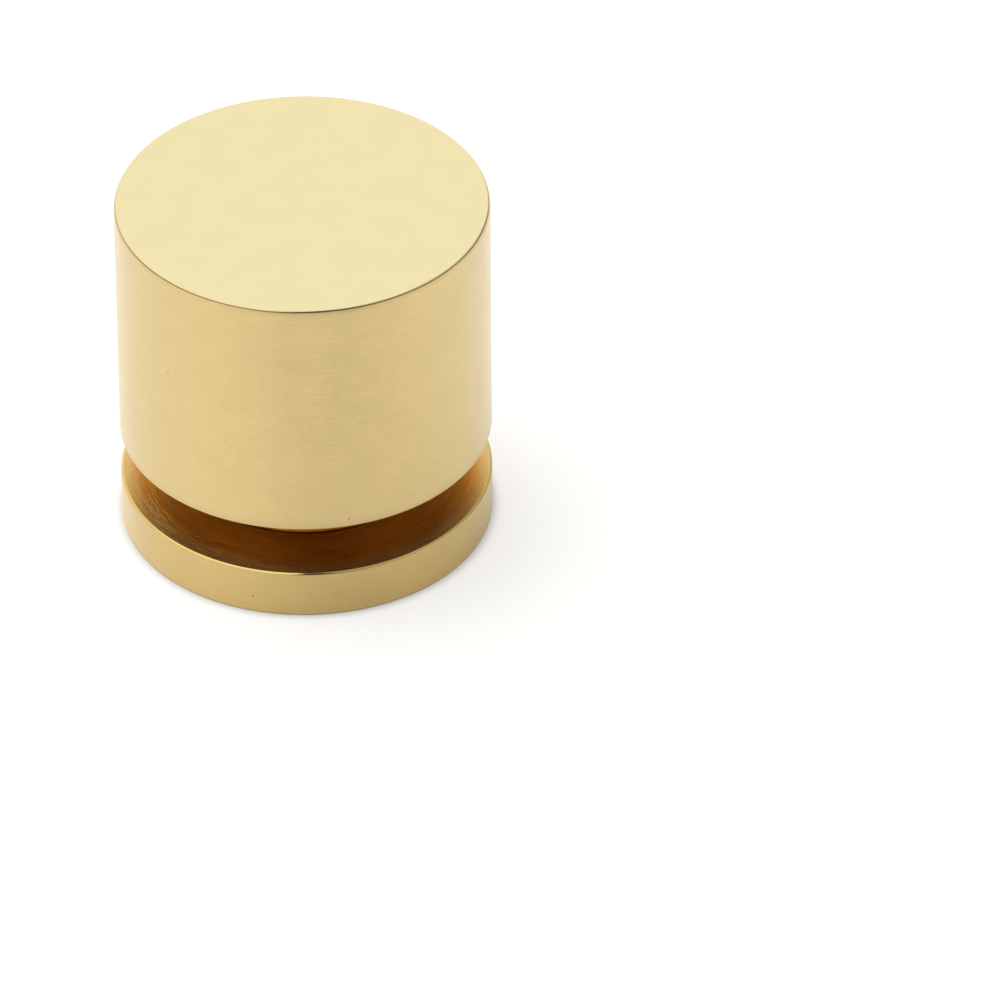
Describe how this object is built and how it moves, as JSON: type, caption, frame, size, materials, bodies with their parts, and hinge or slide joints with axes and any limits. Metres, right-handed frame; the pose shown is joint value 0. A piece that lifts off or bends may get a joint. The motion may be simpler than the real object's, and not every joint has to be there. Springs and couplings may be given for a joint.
{
  "type": "cabinet knob",
  "caption": "Solid turned brass cabinet knob: a plain cylindrical grip over an undercut groove and a round base of the same diameter, tapped for a screw from behind.",
  "frame": {"origin": "centre of the seating face, which lies flat against the door or drawer front", "axes": "+Z along the knob's axis, out of the door; the knob is the same all the way round"},
  "size_m": [0.0254, 0.0254, 0.0253],
  "materials": {
    "brass": "satin"
  },
  "bodies": {
    "root": {"knob": "brass"}
  },
  "joints": []
}
